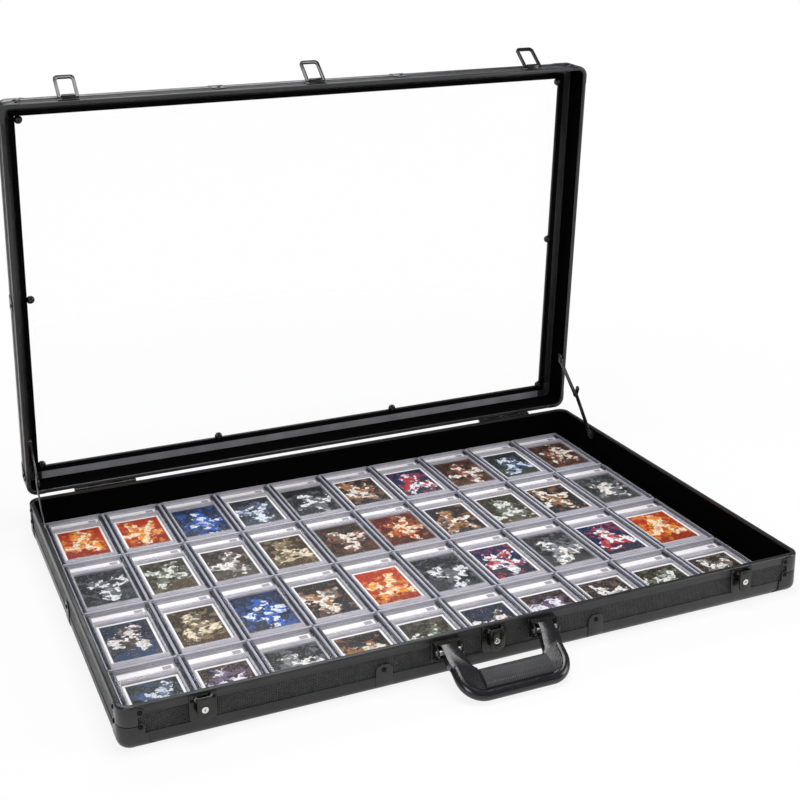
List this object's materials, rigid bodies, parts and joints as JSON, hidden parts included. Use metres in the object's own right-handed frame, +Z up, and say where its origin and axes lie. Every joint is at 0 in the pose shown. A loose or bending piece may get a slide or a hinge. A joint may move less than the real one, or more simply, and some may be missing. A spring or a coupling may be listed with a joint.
{
  "type": "trading card display case",
  "caption": "Shallow rectangular carrying case with hinged clear-windowed lid, latches and swing handle, holding cards sealed in flat clear holders.",
  "frame": {"origin": "centre of the case's underside, on the surface it stands on", "axes": "+X to the right seen from the front, +Y to the back where the hinges are, +Z up"},
  "size_m": [0.8564, 0.6609, 0.6264],
  "materials": {
    "rail_black": "satin black powder coat",
    "panel_black": "embossed black sheet, semi-matt",
    "casting_black": "smooth black coat, semi-gloss",
    "rivet_dark": "darkened steel",
    "lining_black": "thin black felt",
    "bottom_black": "matt black",
    "pad_black": "thin black foam cloth",
    "latch_black": "semi-gloss black",
    "steel_bright": "bright steel",
    "key_bright": "nickel plated",
    "handle_black": "moulded, semi-matt",
    "grip_black": "ribbed soft grip",
    "pane_clear": "clear cast sheet",
    "strip_black": "matt black",
    "clip_black": "moulded, glossy",
    "holder_clear": "clear moulded, glossy",
    "frame_clear": "translucent moulded",
    "card_print": null,
    "label_print": "plain paper label, no lettering",
    "stay_black": "semi-gloss black"
  },
  "bodies": {
    "tray": {"bottom_panel": "bottom_black", "floor_pad": "pad_black", "tray_lining": "lining_black", "tray_panels": "panel_black", "base_rail_front": "rail_black", "base_rail_right": "rail_black", "base_rail_back": "rail_black", "base_rail_left": "rail_black", "rim_rails": "rail_black", "base_corners": "casting_black", "rim_corners": "casting_black", "tray_clamps": "casting_black", "tray_rivets": "rivet_dark", "latch_plates": "latch_black", "latch_screws": "rivet_dark", "latch_pins": "steel_bright", "handle_brackets": "latch_black", "handle_pins": "steel_bright", "tray_hinge_leaves": "latch_black", "hinge_pins": "steel_bright", "stay_feet": "stay_black", "holder_backs": "holder_clear", "holder_frames": "frame_clear", "holder_fronts": "holder_clear", "cards": "card_print", "labels": "label_print"},
    "lid": {"lid_rail_front": "rail_black", "lid_rail_right": "rail_black", "lid_rail_back": "rail_black", "lid_rail_left": "rail_black", "lid_rim_rails": "rail_black", "lid_panels": "panel_black", "lid_lining": "lining_black", "lid_outer_corners": "casting_black", "lid_rim_corners": "casting_black", "lid_clamps": "casting_black", "lid_rivets": "rivet_dark", "clear_pane": "pane_clear", "window_strip": "strip_black", "pane_clips": "clip_black", "hasp_plates": "latch_black", "lid_hinge_leaves": "latch_black", "stay_heads": "stay_black"},
    "handle": {"handle_frame": "handle_black", "handle_grip": "grip_black"},
    "lever_left": {"latch_lever_left": "latch_black"},
    "key_left": {"key_barrel_left": "key_bright"},
    "loop_left": {"hasp_loop_left": "latch_black"},
    "lever_middle": {"latch_lever_middle": "latch_black"},
    "key_middle": {"key_barrel_middle": "key_bright"},
    "loop_middle": {"hasp_loop_middle": "latch_black"},
    "lever_right": {"latch_lever_right": "latch_black"},
    "key_right": {"key_barrel_right": "key_bright"},
    "loop_right": {"hasp_loop_right": "latch_black"},
    "stay_lower_left": {"stay_lower_left": "stay_black"},
    "stay_upper_left": {"stay_upper_left": "stay_black"},
    "stay_lower_right": {"stay_lower_right": "stay_black"},
    "stay_upper_right": {"stay_upper_right": "stay_black"}
  },
  "joints": [
    {"name": "lid_hinge", "type": "hinge", "parent": "tray", "child": "lid", "pos_m": [0, 0.2752, 0.05], "axis": [1, 0, 0], "range_deg": [0, 86]},
    {"name": "handle_swing", "type": "hinge", "parent": "tray", "child": "handle", "pos_m": [0, -0.285, 0.037], "axis": [-1, 0, 0], "range_deg": [0, 104]},
    {"name": "lever_left_turn", "type": "hinge", "parent": "tray", "child": "lever_left", "pos_m": [-0.338, -0.2782, 0.0445], "axis": [-1, 0, 0], "range_deg": [0, 95]},
    {"name": "key_left_turn", "type": "hinge", "parent": "lever_left", "child": "key_left", "pos_m": [-0.338, -0.2816, 0.0335], "axis": [0, -1, 0], "range_deg": [0, 90]},
    {"name": "loop_left_swing", "type": "hinge", "parent": "lid", "child": "loop_left", "pos_m": [-0.338, 0.24565, 0.60168], "axis": [1, 0, 0], "range_deg": [-34, 143]},
    {"name": "lever_middle_turn", "type": "hinge", "parent": "tray", "child": "lever_middle", "pos_m": [0, -0.2782, 0.0445], "axis": [-1, 0, 0], "range_deg": [0, 95]},
    {"name": "key_middle_turn", "type": "hinge", "parent": "lever_middle", "child": "key_middle", "pos_m": [0, -0.2816, 0.0335], "axis": [0, -1, 0], "range_deg": [0, 90]},
    {"name": "loop_middle_swing", "type": "hinge", "parent": "lid", "child": "loop_middle", "pos_m": [0, 0.24565, 0.60168], "axis": [1, 0, 0], "range_deg": [-34, 143]},
    {"name": "lever_right_turn", "type": "hinge", "parent": "tray", "child": "lever_right", "pos_m": [0.338, -0.2782, 0.0445], "axis": [-1, 0, 0], "range_deg": [0, 95]},
    {"name": "key_right_turn", "type": "hinge", "parent": "lever_right", "child": "key_right", "pos_m": [0.338, -0.2816, 0.0335], "axis": [0, -1, 0], "range_deg": [0, 90]},
    {"name": "loop_right_swing", "type": "hinge", "parent": "lid", "child": "loop_right", "pos_m": [0.338, 0.24565, 0.60168], "axis": [1, 0, 0], "range_deg": [-34, 143]},
    {"name": "stay_lower_left_turn", "type": "hinge", "parent": "tray", "child": "stay_lower_left", "pos_m": [-0.4192, 0.185, 0.037], "axis": [1, 0, 0], "range_deg": [-52, 0]},
    {"name": "stay_upper_left_turn", "type": "hinge", "parent": "lid", "child": "stay_upper_left", "pos_m": [-0.4173, 0.27353, 0.13128], "axis": [1, 0, 0], "range_deg": [0, 35]},
    {"name": "stay_lower_right_turn", "type": "hinge", "parent": "tray", "child": "stay_lower_right", "pos_m": [0.4192, 0.185, 0.037], "axis": [1, 0, 0], "range_deg": [-52, 0]},
    {"name": "stay_upper_right_turn", "type": "hinge", "parent": "lid", "child": "stay_upper_right", "pos_m": [0.4173, 0.27353, 0.13128], "axis": [1, 0, 0], "range_deg": [0, 35]}
  ],
  "couplings": [
    {"joint": "stay_lower_left_turn", "follows": "lid_hinge", "ratio": -0.59985},
    {"joint": "stay_upper_left_turn", "follows": "lid_hinge", "ratio": 0.4026},
    {"joint": "stay_lower_right_turn", "follows": "lid_hinge", "ratio": -0.59985},
    {"joint": "stay_upper_right_turn", "follows": "lid_hinge", "ratio": 0.4026}
  ]
}
